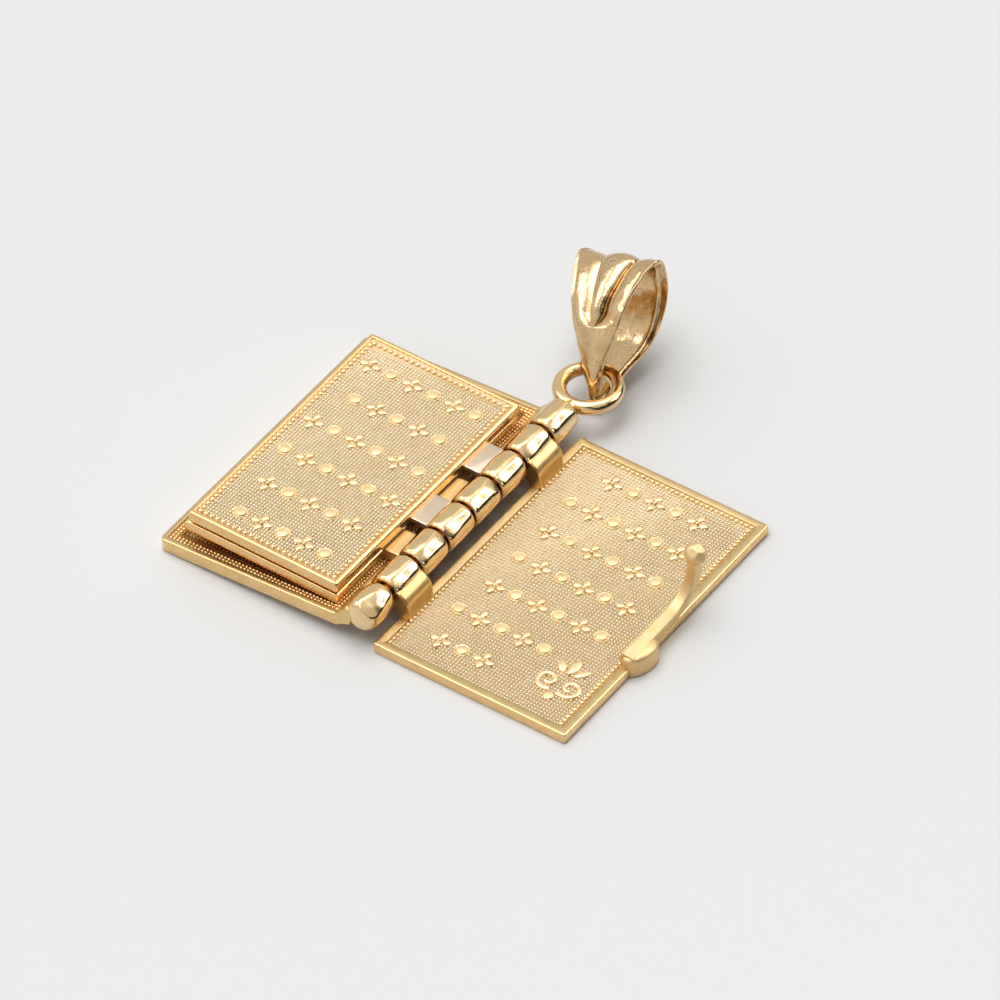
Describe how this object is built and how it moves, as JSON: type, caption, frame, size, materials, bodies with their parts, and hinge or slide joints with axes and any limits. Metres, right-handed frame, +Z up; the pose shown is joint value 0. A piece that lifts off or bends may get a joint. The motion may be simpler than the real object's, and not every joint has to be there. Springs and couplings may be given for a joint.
{
  "type": "book pendant",
  "caption": "Open book pendant in yellow gold: hinged covers and pages on a pin, a spring catch, and a winged bail on the ring.",
  "frame": {"origin": "middle of the flat underside of the front cover, on which the open book lies", "axes": "+Y along the hinge towards the ring, +X across the front cover away from the hinge, +Z up out of the front cover's inner face"},
  "size_m": [0.0238, 0.0249, 0.0065],
  "materials": {
    "back_cover": "polished",
    "hinge_pin": "polished",
    "bail": "polished",
    "front_cover": "satin",
    "lower_page": "satin",
    "upper_page": "satin"
  },
  "bodies": {
    "back_cover": {"back_cover": "back_cover", "hinge_pin": "hinge_pin", "bail": "bail"},
    "front_cover": {"front_cover": "front_cover"},
    "lower_page": {"lower_page": "lower_page"},
    "upper_page": {"upper_page": "upper_page"}
  },
  "joints": [
    {"name": "front_cover_hinge", "type": "hinge", "parent": "back_cover", "child": "front_cover", "pos_m": [-0.00628, 0, 0.0016], "axis": [0, 1, 0], "range_deg": [-179, 0]},
    {"name": "lower_page_hinge", "type": "hinge", "parent": "back_cover", "child": "lower_page", "pos_m": [-0.00628, 0, 0.0016], "axis": [0, 1, 0], "range_deg": [0, 179]},
    {"name": "upper_page_hinge", "type": "hinge", "parent": "lower_page", "child": "upper_page", "pos_m": [-0.00628, 0, 0.0016], "axis": [0, 1, 0], "range_deg": [0, 179]}
  ]
}
